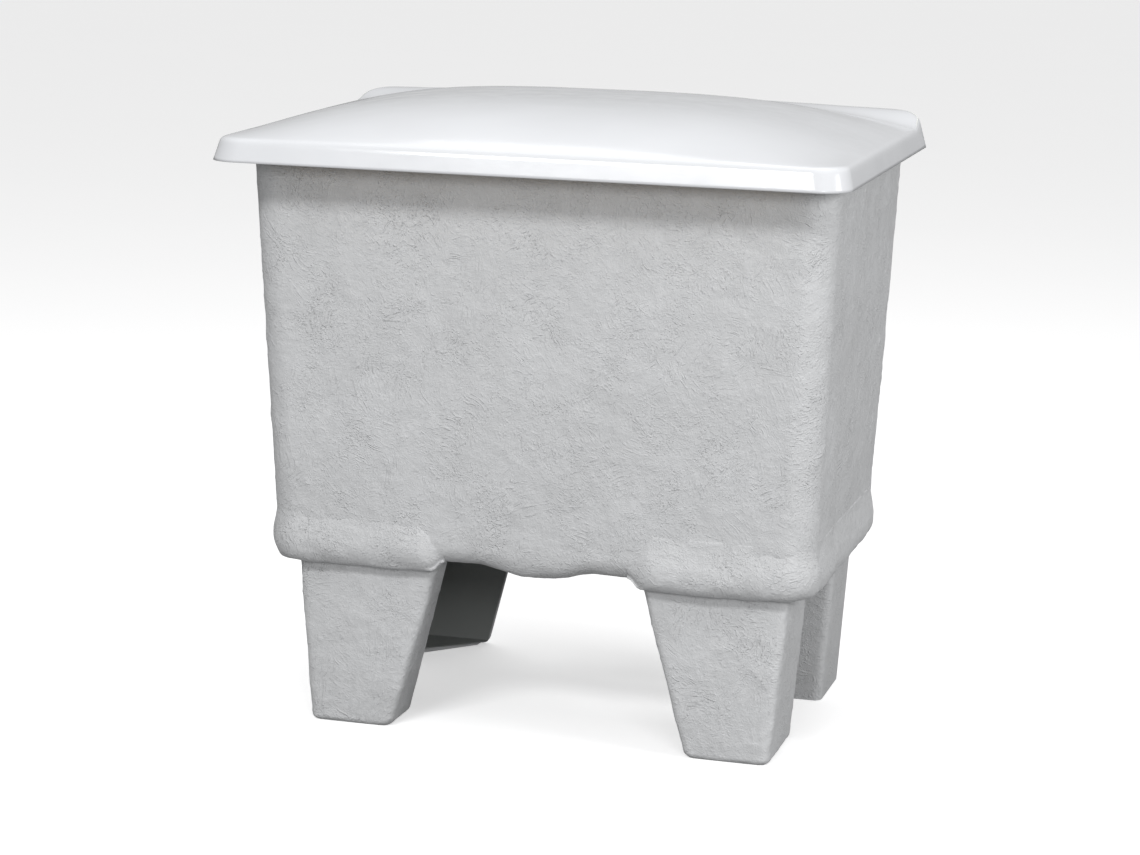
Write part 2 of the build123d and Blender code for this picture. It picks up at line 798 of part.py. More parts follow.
with BuildPart() as drain_flange:
    add(upright_rod(flange_low, flange_high, FLANGE_D))
    add(upright_rod(stem_low, flange_low, STEM_D))
    add(upright_rod(stem_low, flange_high, BORE_D), mode=Mode.SUBTRACT)
    add(upright_rod(flange_high - STRAINER_THICK, flange_high, STRAINER_D), mode=Mode.SUBTRACT)
finish(drain_flange, "drain_flange")

with BuildPart() as drain_strainer:
    add(upright_rod(flange_high - STRAINER_THICK, flange_high, STRAINER_D))
    with Locations((0, DRAIN_Y, flange_high)):
        Cylinder(STRAINER_HOLE / 2, 3 * STRAINER_THICK, mode=Mode.SUBTRACT)
        with PolarLocations(STRAINER_RING, 6):
            Cylinder(STRAINER_HOLE / 2, 3 * STRAINER_THICK, mode=Mode.SUBTRACT)
finish(drain_strainer, "drain_strainer")

for name, low in (("drain_gasket_inner", GUTTER_FLOOR), ("drain_gasket_outer", GUTTER_UNDER - GASKET)):
    with BuildPart() as gasket:
        add(upright_rod(low, low + GASKET, GASKET_D))
        add(upright_rod(low, low + GASKET, STEM_D), mode=Mode.SUBTRACT)
    finish(gasket, name)

with BuildPart() as drain_back_nut:
    with BuildSketch(Plane.XY.offset(nut_low)):
        with Locations((0, DRAIN_Y)):
            RegularPolygon(NUT_AF / 2, 6, major_radius=False)
            Circle(STEM_D / 2, mode=Mode.SUBTRACT)
    extrude(amount=NUT_THICK)
finish(drain_back_nut, "drain_back_nut")

with BuildPart() as drain_elbow:
    add(upright_rod(OUTLET_Z - ELBOW_D / 2 - ELBOW_STEP, nut_low, ELBOW_D + 2 * ELBOW_STEP))
    add(level_rod(DRAIN_Y, elbow_end, ELBOW_D))
    add(upright_rod(stem_low, nut_low, STEM_D), mode=Mode.SUBTRACT)
    add(upright_rod(OUTLET_Z - BORE_D / 2 - ELBOW_STEP, stem_low, BORE_D + ELBOW_STEP), mode=Mode.SUBTRACT)
    add(level_rod(DRAIN_Y, elbow_end, BORE_D), mode=Mode.SUBTRACT)
finish(drain_elbow, "drain_elbow")

boss_low = OUTLET_Z - VALVE_D / 2 - BOSS_DROP
with BuildPart() as valve_body:
    add(level_rod(elbow_end, valve_end, VALVE_D))
    add(upright_rod(boss_low, OUTLET_Z, BOSS_D, y=VALVE_Y))
    add(level_rod(elbow_end, pocket_start, BORE_D), mode=Mode.SUBTRACT)
    add(level_rod(pocket_start, valve_end, POCKET_D), mode=Mode.SUBTRACT)
    add(upright_rod(boss_low, OUTLET_Z, SPINDLE_D + 2 * PIN_FREE_PLAY, y=VALVE_Y), mode=Mode.SUBTRACT)
finish(valve_body, "valve_body")

with BuildPart() as valve_seats:
    for start in (pocket_start, pocket_end - SEAT_LENGTH):
        add(level_rod(start, start + SEAT_LENGTH, POCKET_D))
    add(level_rod(pocket_start, pocket_end, BORE_D), mode=Mode.SUBTRACT)
    add(ball_at(VALVE_Y, BALL_D + 2 * BALL_PLAY), mode=Mode.SUBTRACT)
finish(valve_seats, "valve_seats")

with BuildPart() as valve_ball:
    add(ball_at(VALVE_Y, BALL_D))
    with BuildSketch(Plane.YZ.offset(-BALL_D)):
        with Locations((VALVE_Y, OUTLET_Z)):
            Circle(BALL_BORE / 2)
    extrude(amount=2 * BALL_D, mode=Mode.SUBTRACT)
    with Locations((0, VALVE_Y, OUTLET_Z - BALL_D / 2)):
        Box(BALL_D, SPINDLE_TANG, 2 * SPINDLE_BITE, mode=Mode.SUBTRACT)
finish(valve_ball, "valve_ball")

spindle_high = OUTLET_Z - BALL_D / 2
spindle_low = LEVER_Z - SPINDLE_NUT - SPINDLE_END
with BuildPart() as valve_spindle:
    add(upright_rod(spindle_low, spindle_high, SPINDLE_D, y=VALVE_Y))
    with Locations((0, VALVE_Y, spindle_high + SPINDLE_BITE / 2)):
        Box(SPINDLE_TANG_WIDTH, SPINDLE_TANG, SPINDLE_BITE)
finish(valve_spindle, "valve_spindle")

with BuildPart() as valve_lever:
    with BuildSketch(Plane.XY.offset(LEVER_Z)):
        with Locations((0, VALVE_Y)):
            Circle(LEVER_HUB / 2)
        with Locations((LEVER_LENGTH / 2, VALVE_Y)):
            SlotOverall(LEVER_LENGTH + LEVER_WIDTH, LEVER_WIDTH)
        with Locations((0, VALVE_Y)):
            Circle(SPINDLE_D / 2, mode=Mode.SUBTRACT)
    extrude(amount=LEVER_THICK)
finish(valve_lever, "valve_lever")

with BuildPart() as lever_grip:
    with BuildSketch(Plane.XY.offset(LEVER_Z - GRIP_WALL)):
        with Locations((LEVER_LENGTH - GRIP_LENGTH / 2 + LEVER_WIDTH / 2 + GRIP_WALL, VALVE_Y)):
            RectangleRounded(GRIP_LENGTH, LEVER_WIDTH + 2 * GRIP_WALL, LEVER_WIDTH / 2)
    extrude(amount=LEVER_THICK + 2 * GRIP_WALL)
    fillet(lever_grip.faces().sort_by(Axis.Z)[0].edges(), GRIP_WALL / 2)
    fillet(lever_grip.faces().sort_by(Axis.Z)[-1].edges(), GRIP_WALL / 2)
    add(valve_lever.part, mode=Mode.SUBTRACT)
finish(lever_grip, "lever_grip")

with BuildPart() as lever_nut:
    with BuildSketch(Plane.XY.offset(LEVER_Z - SPINDLE_NUT)):
        with Locations((0, VALVE_Y)):
            RegularPolygon(LEVER_NUT_AF / 2, 6, major_radius=False)
            Circle(SPINDLE_D / 2, mode=Mode.SUBTRACT)
    extrude(amount=SPINDLE_NUT)
finish(lever_nut, "lever_nut")

with BuildPart() as outlet_spigot:
    add(level_rod(pocket_end, valve_end, POCKET_D))
    add(level_rod(valve_end, valve_end + COLLAR, VALVE_D))
    add(level_rod(valve_end + COLLAR, valve_end + COLLAR + TAIL_LENGTH, TAIL_D))
    add(level_rod(pocket_end, valve_end + COLLAR + TAIL_LENGTH, TAIL_BORE), mode=Mode.SUBTRACT)
finish(outlet_spigot, "outlet_spigot")

print(len(pieces), "pieces:", ", ".join(pieces))
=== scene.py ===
"""Looks of the glass-fibre wash tank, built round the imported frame. Metres, +Z up, -Y front."""
import json
import math

import bpy
import numpy as np
from mathutils import Matrix, Vector


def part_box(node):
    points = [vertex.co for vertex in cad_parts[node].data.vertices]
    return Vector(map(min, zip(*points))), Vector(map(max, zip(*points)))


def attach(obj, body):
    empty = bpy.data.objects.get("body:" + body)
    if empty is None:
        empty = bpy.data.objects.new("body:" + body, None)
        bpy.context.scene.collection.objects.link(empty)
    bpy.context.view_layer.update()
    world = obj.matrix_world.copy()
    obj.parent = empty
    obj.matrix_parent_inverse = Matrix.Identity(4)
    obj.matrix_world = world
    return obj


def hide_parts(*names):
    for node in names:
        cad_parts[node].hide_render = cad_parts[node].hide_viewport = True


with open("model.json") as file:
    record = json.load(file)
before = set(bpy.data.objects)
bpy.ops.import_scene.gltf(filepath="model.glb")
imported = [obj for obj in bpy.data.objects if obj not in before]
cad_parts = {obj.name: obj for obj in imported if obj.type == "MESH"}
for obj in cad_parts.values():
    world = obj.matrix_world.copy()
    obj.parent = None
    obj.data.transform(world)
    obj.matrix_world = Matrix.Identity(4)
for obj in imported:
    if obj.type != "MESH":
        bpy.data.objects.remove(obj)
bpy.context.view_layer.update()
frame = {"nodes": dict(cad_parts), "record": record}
MM = 0.001
RANDOM = np.random.default_rng(41)

# ---------------------------------------------------------------- camera
CAMERA_AZIMUTH = 15.84
CAMERA_ELEVATION = 11.6
CAMERA_ROLL = 1.09
CAMERA_DISTANCE = 4.87
CAMERA_AIM = (-0.0130, 0.471)  # sideways from the middle, and height
CAMERA_LENS = 94.4


def make_camera():
    azimuth, elevation, roll = (math.radians(a) for a in (CAMERA_AZIMUTH, CAMERA_ELEVATION, CAMERA_ROLL))
    reach = math.cos(elevation)
    back = Vector((math.sin(azimuth) * reach, -math.cos(azimuth) * reach, math.sin(elevation)))
    level_right = (-back).cross(Vector((0, 0, 1))).normalized()
    level_up = level_right.cross(-back)
    right = level_right * math.cos(roll) + level_up * math.sin(roll)
    up = level_up * math.cos(roll) - level_right * math.sin(roll)
    aim = Vector((0, 0, 0.5)) + right * CAMERA_AIM[0] + up * (CAMERA_AIM[1] - 0.5)
    camera = bpy.data.objects.new("camera", bpy.data.cameras.new("camera"))
    camera.data.lens = CAMERA_LENS
    camera.data.sensor_width = 36
    camera.data.clip_end = 200
    turn = Matrix((right, up, back)).transposed().to_4x4()
    camera.matrix_world = Matrix.Translation(aim + back * CAMERA_DISTANCE) @ turn
    bpy.context.scene.collection.objects.link(camera)
    bpy.context.scene.camera = camera


# ---------------------------------------------------------------- materials
class Nodes:
    """Small helper that adds and links shader nodes."""

    def __init__(self, name):
        self.material = bpy.data.materials.new(name)
        self.material.use_nodes = True
        self.tree = self.material.node_tree
        self.shader = self.tree.nodes["Principled BSDF"]
        self.coords = self.add("ShaderNodeTexCoord").outputs["Object"]

    def add(self, kind, inputs=None, **settings):
        node = self.tree.nodes.new(kind)
        for key, value in settings.items():
            setattr(node, key, value)
        for key, value in (inputs or {}).items():
            self.put(node.inputs[key], value)
        return node

    def put(self, socket, value):
        if isinstance(value, bpy.types.NodeSocket):
            self.tree.links.new(value, socket)
        else:
            socket.default_value = value

    def math(self, operation, a, b=0.0, c=0.0):
        node = self.add("ShaderNodeMath", operation=operation)
        for socket, value in zip(node.inputs, (a, b, c)):
            self.put(socket, value)
        return node.outputs[0]

    def ramp(self, value, low, high, low_to=0.0, high_to=1.0):
        node = self.add(
            "ShaderNodeMapRange",
            {"Value": value, "From Min": low, "From Max": high, "To Min": low_to, "To Max": high_to},
        )
        return node.outputs[0]

    def noise(self, scale, detail=3.0, roughness=0.5, vector=None):
        node = self.add(
            "ShaderNodeTexNoise",
            {"Vector": vector or self.coords, "Scale": scale, "Detail": detail, "Roughness": roughness},
        )
        return node.outputs["Fac"]

    def shifted(self, offset):
        node = self.add("ShaderNodeVectorMath", operation="ADD")
        self.put(node.inputs[0], self.coords)
        node.inputs[1].default_value = (offset, 1.7 * offset, 2.3 * offset)
        return node.outputs[0]

    def mix(self, factor, a, b):
        node = self.add("ShaderNodeMix", data_type="RGBA")
        self.put(node.inputs[0], factor)
        self.put(node.inputs[6], (*a, 1) if isinstance(a, tuple) else a)
        self.put(node.inputs[7], (*b, 1) if isinstance(b, tuple) else b)
        return node.outputs[2]

    def strands(self, patch, length, width, offset):
        """Streaks like chopped glass strands: in each patch of the surface they lie one random way."""
        start = self.shifted(offset)
        wander = self.add("ShaderNodeTexNoise", {"Vector": start, "Scale": 0.6 / patch, "Detail": 2.0})
        bent = self.add("ShaderNodeVectorMath", operation="MULTIPLY_ADD")
        self.put(bent.inputs[0], wander.outputs["Color"])
        bent.inputs[1].default_value = (patch, patch, patch)
        self.put(bent.inputs[2], start)
        cells = self.add("ShaderNodeTexVoronoi", {"Vector": bent.outputs[0], "Scale": 1.0 / patch})
        local = self.add("ShaderNodeVectorMath", operation="SUBTRACT")
        self.put(local.inputs[0], bent.outputs[0])
        self.put(local.inputs[1], cells.outputs["Position"])
        angles = self.add("ShaderNodeVectorMath", operation="SCALE")
        self.put(angles.inputs[0], cells.outputs["Color"])
        angles.inputs["Scale"].default_value = 2 * math.pi
        turned = self.add("ShaderNodeVectorRotate", rotation_type="EULER_XYZ")
        self.put(turned.inputs["Vector"], local.outputs[0])
        self.put(turned.inputs["Rotation"], angles.outputs[0])
        drawn = self.add("ShaderNodeVectorMath", operation="MULTIPLY")
        self.put(drawn.inputs[0], turned.outputs[0])
        drawn.inputs[1].default_value = (1 / length, 1 / width, 1 / width)
        streak = self.add("ShaderNodeTexNoise", {"Vector": drawn.outputs[0], "Scale": 1.0, "Detail": 1.0})
        return streak.outputs["Fac"]

    def stretched(self, stretch, detail):
        """Noise drawn out along X, as grain."""
        drawn = self.add("ShaderNodeVectorMath", operation="MULTIPLY")
        self.put(drawn.inputs[0], self.coords)
        drawn.inputs[1].default_value = stretch
        node = self.add("ShaderNodeTexNoise", {"Vector": drawn.outputs[0], "Scale": 1.0, "Detail": detail})
        return node.outputs["Fac"]

    def look(self, colour, roughness, height, relief):
        """Link the base colour, the roughness and the bump of the shader."""
        bump = self.add("ShaderNodeBump", {"Height": height, "Distance": relief, "Strength": 1.0})
        self.put(self.shader.inputs["Base Color"], colour)
        self.put(self.shader.inputs["Roughness"], roughness)
        self.put(self.shader.inputs["Normal"], bump.outputs[0])
        return self.material


def darkened(colour, share):
    return tuple(share * c for c in colour)


def fibreglass(name, light, dark, relief):
    """Hand-laid glass mat under a flow coat: long strands, shorter ones and a fine grain."""
    n = Nodes(name)
    long_strands = n.strands(0.050, 0.045, 0.0034, 0.0)
    crossing = n.strands(0.034, 0.030, 0.0022, 5.3)
    fine = n.strands(0.018, 0.014, 0.0011, 3.1)
    patches = n.ramp(n.noise(14.0, 3.0, 0.6, n.shifted(9.1)), 0.38, 0.66, 0.25, 1.0)
    ridge = n.math("MULTIPLY", n.ramp(long_strands, 0.52, 0.85), patches)
    ridge = n.math("MULTIPLY_ADD", n.ramp(crossing, 0.56, 0.85), n.math("MULTIPLY", patches, 0.5), ridge)
    height = n.math("MULTIPLY_ADD", fine, 0.40, ridge)
    height = n.math("MULTIPLY_ADD", n.noise(300.0, 3.0, 0.6), 0.40, height)
    height = n.math("MULTIPLY_ADD", n.noise(95.0, 2.0, 0.5), 0.8, height)
    specks = n.ramp(n.noise(330.0, 2.0, 0.7, n.shifted(4.4)), 0.70, 0.76)
    tone = n.math("MULTIPLY_ADD", n.noise(7.0, 4.0, 0.6), 0.7, n.math("MULTIPLY", fine, 0.3))
    base = n.mix(n.ramp(tone, 0.38, 0.62), dark, light)
    bright = tuple(min(1.25 * c, 0.9) for c in light)
    n.shader.inputs["Specular IOR Level"].default_value = 0.35
    colour = n.mix(n.math("MULTIPLY", specks, 0.55), base, bright)
    return n.look(colour, n.ramp(n.noise(60.0, 4.0), 0.3, 0.7, 0.40, 0.58), height, relief)


def gelcoat(name, colour, roughness, ripple):
    """Polished moulded gelcoat with a faint ripple."""
    n = Nodes(name)
    wide = n.noise(7.0, 2.0, 0.5)
    peel = n.noise(160.0, 2.0, 0.5)
    n.shader.inputs["Specular IOR Level"].default_value = 0.3
    n.shader.inputs["Coat Weight"].default_value = 0.06
    n.shader.inputs["Coat Roughness"].default_value = 0.04
    tone = n.mix(n.ramp(wide, 0.35, 0.65), colour, darkened(colour, 0.97))
    gloss = n.ramp(n.noise(28.0, 4.0), 0.3, 0.7, roughness * 0.8, roughness * 1.3)
    return n.look(tone, gloss, n.math("MULTIPLY_ADD", peel, 0.06, wide), ripple)


def brushed_steel(name, colour, roughness):
    n = Nodes(name)
    grain = n.stretched((60, 1500, 1500), 3.0)
    n.shader.inputs["Metallic"].default_value = 1.0
    tone = n.mix(grain, colour, darkened(colour, 0.82))
    return n.look(tone, n.ramp(grain, 0.3, 0.7, roughness, roughness * 1.5), grain, 0.00004)


def moulded_plastic(name, colour, roughness):
    n = Nodes(name)
    grain = n.noise(700.0, 2.0, 0.6)
    tone = n.mix(n.noise(25.0, 3.0), colour, darkened(colour, 0.85))
    return n.look(tone, n.ramp(grain, 0.3, 0.7, roughness * 0.9, roughness * 1.15), grain, 0.00006)


def softwood(name):
    n = Nodes(name)
    rings = n.stretched((4, 60, 90), 4.0)
    tone = n.mix(n.ramp(rings, 0.3, 0.7), (0.55, 0.38, 0.20), (0.72, 0.55, 0.34))
    return n.look(tone, 0.6, rings, 0.0003)


def foam(name):
    n = Nodes(name)
    pores = n.add("ShaderNodeTexVoronoi", {"Vector": n.coords, "Scale": 900.0}).outputs["Distance"]
    return n.look(n.mix(pores, (0.02, 0.02, 0.022), (0.06, 0.06, 0.065)), 0.9, pores, 0.0002)


FIBREGLASS_LIGHT = (0.600, 0.607, 0.617)
FIBREGLASS_DARK = (0.555, 0.561, 0.569)
MATERIALS = {
    "fibreglass_exterior": fibreglass("fibreglass_exterior", FIBREGLASS_LIGHT, FIBREGLASS_DARK, 0.0018),
    "lid_laminate": fibreglass("lid_laminate", (0.72, 0.73, 0.71), (0.64, 0.65, 0.62), 0.0007),
    "white_gelcoat": gelcoat("white_gelcoat", (0.86, 0.87, 0.88), 0.18, 0.0004),
    "lid_gelcoat": gelcoat("lid_gelcoat", (0.645, 0.655, 0.675), 0.14, 0.0004),
    # dark_gelcoat: smooth grey gelcoat of the leg insides, made darker than the real surface as painted
    # shade for the deep shadow under the tub
    "dark_gelcoat": gelcoat("dark_gelcoat", (0.24, 0.25, 0.245), 0.5, 0.0004),
    "timber": softwood("timber"),
    "seal_foam": foam("seal_foam"),
    "gasket_rubber": moulded_plastic("gasket_rubber", (0.03, 0.03, 0.03), 0.8),
    "hinge_steel": brushed_steel("hinge_steel", (0.62, 0.62, 0.62), 0.28),
    "screw_steel": brushed_steel("screw_steel", (0.70, 0.70, 0.70), 0.22),
    "drain_plastic": moulded_plastic("drain_plastic", (0.13, 0.135, 0.14), 0.45),
    "seat_plastic": moulded_plastic("seat_plastic", (0.85, 0.85, 0.83), 0.4),
    "ball_chrome": brushed_steel("ball_chrome", (0.85, 0.85, 0.85), 0.06),
    "lever_steel": brushed_steel("lever_steel", (0.60, 0.60, 0.60), 0.25),
    "grip_plastic": moulded_plastic("grip_plastic", (0.03, 0.07, 0.20), 0.35),
}


# ---------------------------------------------------------------- relief of the glass mat
TILE = 1.024
TILE_PIXELS = 512


def blurred(field, radius):
    """Periodic Gaussian blur."""
    waves = np.fft.fftfreq(TILE_PIXELS) * TILE_PIXELS / TILE
    damp = np.exp(-2 * (math.pi * radius) ** 2 * (waves[:, None] ** 2 + waves[None, :] ** 2))
    return np.fft.ifft2(np.fft.fft2(field) * damp).real


def strand_field(count, length, radius):
    """Height of many bent strands thrown at random on the tile, about zero mean and unit spread."""
    steps = np.linspace(-0.5, 0.5, 60)
    field = np.zeros((TILE_PIXELS, TILE_PIXELS))
    for _ in range(count):
        angle = RANDOM.uniform(0, math.pi)
        reach = length * RANDOM.uniform(0.6, 1.3)
        bend = reach * RANDOM.normal(0, 0.25)
        start = RANDOM.uniform(0, TILE, 2)
        along = steps * reach
        across = bend * (steps**2 - 0.08)
        x = start[0] + along * math.cos(angle) - across * math.sin(angle)
        y = start[1] + along * math.sin(angle) + across * math.cos(angle)
        i = (x / TILE * TILE_PIXELS).astype(int) % TILE_PIXELS
        j = (y / TILE * TILE_PIXELS).astype(int) % TILE_PIXELS
        np.add.at(field, (i, j), RANDOM.uniform(0.3, 1.0) * (1 - (2 * steps) ** 4))
    field = blurred(field, radius)
    return (field - field.mean()) / field.std()


WAVES = blurred(RANDOM.normal(size=(TILE_PIXELS, TILE_PIXELS)), 0.045)
WAVES /= WAVES.std()
LUMPS = blurred(RANDOM.normal(size=(TILE_PIXELS, TILE_PIXELS)), 0.010)
LUMPS /= LUMPS.std()
STRANDS = strand_field(2600, 0.050, 0.0021)


def sampled(field, u, v):
    """Bilinear value of a periodic tile at places in metres."""
    u = u / TILE * TILE_PIXELS
    v = v / TILE * TILE_PIXELS
    i = np.floor(u).astype(int)
    j = np.floor(v).astype(int)
    fu = u - i
    fv = v - j
    i0, i1, j0, j1 = i % TILE_PIXELS, (i + 1) % TILE_PIXELS, j % TILE_PIXELS, (j + 1) % TILE_PIXELS
    low = field[i0, j0] * (1 - fu) + field[i1, j0] * fu
    high = field[i0, j1] * (1 - fu) + field[i1, j1] * fu
    return low * (1 - fv) + high * fv


def three_way(field, points, normals):
    """A tile laid on the surface from three sides and blended by the surface's direction."""
    weights = np.abs(normals) ** 4
    weights /= weights.sum(1, keepdims=True) + 1e-12
    x, y, z = points.T
    return (
        weights[:, 0] * sampled(field, y + 0.37, z)
        + weights[:, 1] * sampled(field, x, z + 0.11)
        + weights[:, 2] * sampled(field, x + 0.53, y)
    )


def vertex_normals(points, faces):
    """Area-weighted normals of a quad mesh."""
    a, b, c, d = (points[faces[:, k]] for k in range(4))
    flat = np.cross(c - a, d - b)
    normals = np.zeros_like(points)
    for k in range(4):
        np.add.at(normals, faces[:, k], flat)
    return normals / (np.linalg.norm(normals, axis=1, keepdims=True) + 1e-12)


def roughened(points, faces, strands, lumps, waves, mask=1.0):
    """Move a quad mesh's points along their normals by the mat's relief, in metres."""
    normals = vertex_normals(points, faces)
    height = strands * three_way(STRANDS, points, normals)
    height = height + lumps * three_way(LUMPS, points, normals)
    height = height + waves * three_way(WAVES, points, normals)
    return points + normals * (height * mask)[:, None]


# ---------------------------------------------------------------- meshes
def add_piece(name, points, faces, slot, body, replaced, sharp=None):
    """Make a smooth mesh piece, ride it on its body, give it its slot's material and hide the CAD nodes it
    replaces.
    """
    mesh = bpy.data.meshes.new(name)
    mesh.from_pydata(points, [], faces)
    mesh.validate()
    mesh.shade_smooth()
    if sharp is not None:
        mesh.set_sharp_from_angle(angle=math.radians(sharp))
    mesh.materials.append(MATERIALS[slot])
    piece = bpy.data.objects.new(name, mesh)
    bpy.context.scene.collection.objects.link(piece)
    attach(piece, body)
    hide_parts(*replaced)


def joined_loops(count, pairs):
    """Quads between loops of count points each, for each pair of loops."""
    step = np.arange(count)
    after = (step + 1) % count
    rows = []
    for low, high in pairs:
        start, stop = low * count, high * count
        rows.append(np.column_stack((start + step, start + after, stop + after, stop + step)))
    return np.vstack(rows)


def end_caps(count, loops):
    """One flat face over the first loop of a tube and one over its last."""
    return [list(range(count)), list(range((loops - 1) * count, loops * count))[::-1]]


class Tray:
    """Rings of one rounded rectangle after another, closed by a grid at each end."""

    def __init__(self, across, deep, corner):
        self.across = across
        self.deep = deep
        self.corner = corner
        self.rings = []

    def side(self, count):
        """Stations along one side: corner arc, straight and corner arc, as (part, share) pairs."""
        arc = [(0, k / self.corner) for k in range(self.corner)]
        straight = [(1, k / (count - 2 * self.corner)) for k in range(count - 2 * self.corner)]
        return arc + straight + [(2, k / self.corner) for k in range(self.corner)]

    def ring(self, x0, x1, y0, y1, radius, z):
        cx, cy, hx, hy = (x0 + x1) / 2, (y0 + y1) / 2, (x1 - x0) / 2, (y1 - y0) / 2
        points = []
        turns = (
            (self.across, hx, hy, 0),
            (self.deep, hy, hx, 1),
            (self.across, hx, hy, 2),
            (self.deep, hy, hx, 3),
        )
        for count, half, other, turn in turns:
            for part, share in self.side(count):
                if part == 1:
                    along, out = -(half - radius) + 2 * (half - radius) * share, other
                else:
                    angle = math.radians(45 * (1 - share) if part == 0 else 45 * share)
                    reach = half - radius + radius * math.sin(angle)
                    along = -reach if part == 0 else reach
                    out = other - radius + radius * math.cos(angle)
                spot = ((along, -out), (out, along), (-along, out), (-out, -along))[turn]
                points.append((cx + spot[0], cy + spot[1]))
        self.rings.append(np.column_stack((np.array(points), np.full(len(points), float(z)))))

    def cap(self, ring, z):
        """Grid of points inside a ring, without its border."""
        nx, ny = self.across, self.deep
        front = ring[0:nx + 1]
        right = ring[nx:nx + ny + 1]
        back = ring[nx + ny:2 * nx + ny + 1][::-1]
        left = np.vstack((ring[2 * nx + ny:], ring[:1]))[::-1]
        s = np.linspace(0, 1, nx + 1)[None, :, None]
        t = np.linspace(0, 1, ny + 1)[:, None, None]
        grid = (1 - t) * front[None] + t * back[None] + (1 - s) * left[:, None] + s * right[:, None]
        front_corners = (1 - s) * (1 - t) * front[0] + s * (1 - t) * front[-1]
        grid = grid - (front_corners + (1 - s) * t * back[0] + s * t * back[-1])
        if z is not None:
            grid[..., 2] = z(grid[..., 0], grid[..., 1])
        return grid

    def border_index(self, j, i, base):
        """Index on the border ring of grid place (row j, column i), or None inside."""
        nx, ny = self.across, self.deep
        total = 2 * (nx + ny)
        if j == 0:
            return base + i
        if i == nx:
            return base + nx + j
        if j == ny:
            return base + nx + ny + (nx - i)
        if i == 0:
            return base + (2 * nx + ny + (ny - j)) % total
        return None

    def build(self, start_z=None, end_z=None):
        """Points and quads, with a grid over each end."""
        count = len(self.rings[0])
        rows = len(self.rings)
        points = [np.vstack(self.rings)]
        faces = [joined_loops(count, [(row, row + 1) for row in range(rows - 1)])]
        total = rows * count
        for ring_index, z, flip in ((0, start_z, True), (rows - 1, end_z, False)):
            grid = self.cap(self.rings[ring_index], z)
            inner = grid[1:-1, 1:-1].reshape(-1, 3)
            index = np.zeros((self.deep + 1, self.across + 1), int)
            for j in range(self.deep + 1):
                for i in range(self.across + 1):
                    border = self.border_index(j, i, ring_index * count)
                    if border is None:
                        border = total + (j - 1) * (self.across - 1) + (i - 1)
                    index[j, i] = border
            corners = (index[:-1, :-1], index[:-1, 1:], index[1:, 1:], index[1:, :-1])
            quads = np.stack(corners, -1).reshape(-1, 4)
            faces.append(quads[:, ::-1] if flip else quads)
            points.append(inner)
            total += len(inner)
        return np.vstack(points), np.vstack(faces)


def mixed(a, b, share):
    return a + (b - a) * share


def smooth_step(t):
    t = np.clip(t, 0, 1)
    return t * t * (3 - 2 * t)


# ---------------------------------------------------------------- measures read from the frame
shell_low, shell_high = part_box("tub_shell")
lid_low, lid_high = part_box("lid_skin")
rail_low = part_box("base_rail_right")[0]
leg_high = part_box("leg_front_right")[1]

TUB_BASE = leg_high.z
RIM_TOP = shell_high.z
RIM_THICK = 6 * MM
RIM_CORNER = 42 * MM
TUB_Y = 23 * MM
TUB_HALF_TOP = (469 * MM, 300.5 * MM)
TUB_HALF_BASE = (440.5 * MM, 265.5 * MM)
TUB_CORNER = 50 * MM
TUB_EDGE = 34 * MM
TUB_WALL = 6 * MM
TUB_FLOOR = 7 * MM
LINER = 2 * MM
GUTTER_HALF = 98 * MM
GUTTER_BED = 18 * MM
GUTTER_DEPTH = TUB_BASE - shell_low.z
GUTTER_END = 272 * MM


def tub_half(z):
    """Half width and half depth of the tub's outer face at a height."""
    share = (z - TUB_BASE) / (RIM_TOP - TUB_BASE)
    return mixed(TUB_HALF_BASE[0], TUB_HALF_TOP[0], share), mixed(TUB_HALF_BASE[1], TUB_HALF_TOP[1], share)


def sagged(points):
    """Let the middle of the floor and of its rounded front edge hang down as the drain channel."""
    x, y, z = points.T
    across = 1 - smooth_step((np.abs(x) - GUTTER_BED) / (GUTTER_HALF - GUTTER_BED))
    stop = smooth_step((GUTTER_END - y) / (22 * MM))
    low = 1 - smooth_step((z - TUB_BASE) / (1.5 * TUB_EDGE))
    points[:, 2] -= GUTTER_DEPTH * across * stop * low
    return points


def tub_ring(tray, z, inset, least_corner=4 * MM):
    """Ring on the tub's wall at a height, moved inward."""
    hx, hy = tub_half(z)
    corner = max(TUB_CORNER - inset, least_corner)
    tray.ring(-hx + inset, hx - inset, TUB_Y - hy + inset, TUB_Y + hy - inset, corner, z)


def bowl_rings(tray, wall_inset, floor, edge, step, top):
    """Rings from the flat floor round its edge and up the wall."""
    for extra in (24 * MM, 12 * MM, 4 * MM):
        tub_ring(tray, floor, wall_inset + edge + extra, 6 * MM)
    for k in range(0, 13):
        angle = math.pi / 2 * k / 12
        tub_ring(tray, floor + edge * (1 - math.cos(angle)), wall_inset + edge * (1 - math.sin(angle)))
    rows = max(int((top - floor - edge) / step), 2)
    for k in range(1, rows + 1):
        tub_ring(tray, floor + edge + (top - floor - edge) * k / rows, wall_inset)


def rim_ring(tray, z, inset):
    x0, x1 = shell_low.x + inset, shell_high.x - inset
    y0, y1 = shell_low.y + inset, shell_high.y - inset
    tray.ring(x0, x1, y0, y1, RIM_CORNER - inset, z)


